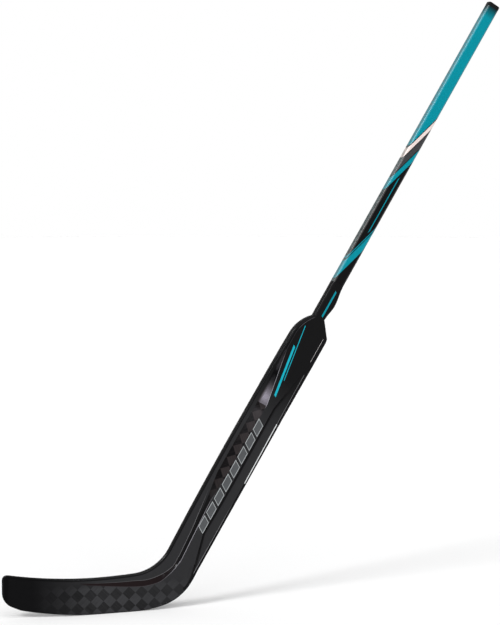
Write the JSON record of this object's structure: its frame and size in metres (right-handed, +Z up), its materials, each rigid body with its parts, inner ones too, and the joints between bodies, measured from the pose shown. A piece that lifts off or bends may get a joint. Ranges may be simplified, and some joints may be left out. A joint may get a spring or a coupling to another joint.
{
  "type": "hockey goalie stick",
  "caption": "Goalkeeper's ice hockey stick: a hollow carbon shaft with a rubber butt plug, glued into a wide moulded paddle that turns at the heel into a curved blade.",
  "frame": {"origin": "middle of the flat stretch of the blade's sole, half way through the blade's thickness", "axes": "+X from toe to heel, +Y away from the striking face, +Z up from the sole"},
  "size_m": [1.1297, 0.0361, 1.3191],
  "materials": {
    "shaft_laminate": "carbon laminate tube, teal and black gloss paint with pale panels",
    "paddle_laminate": "carbon weave under clear satin gloss",
    "cap_rubber": "moulded black rubber, matt",
    "core_foam": "closed-cell structural foam",
    "web_laminate": "carbon laminate sheet, matt"
  },
  "bodies": {
    "root": {"butt_end_plug": "cap_rubber", "shaft_tube": "shaft_laminate", "front_skin": "paddle_laminate", "back_skin": "paddle_laminate", "paddle_head_core": "core_foam", "toe_side_core": "core_foam", "spine_core": "core_foam", "heel_side_core": "core_foam", "heel_block": "core_foam", "blade_upper_core": "core_foam", "blade_lower_core": "core_foam", "tenon_plug": "core_foam", "toe_side_web": "web_laminate", "heel_side_web": "web_laminate", "blade_rib": "web_laminate"}
  },
  "joints": []
}
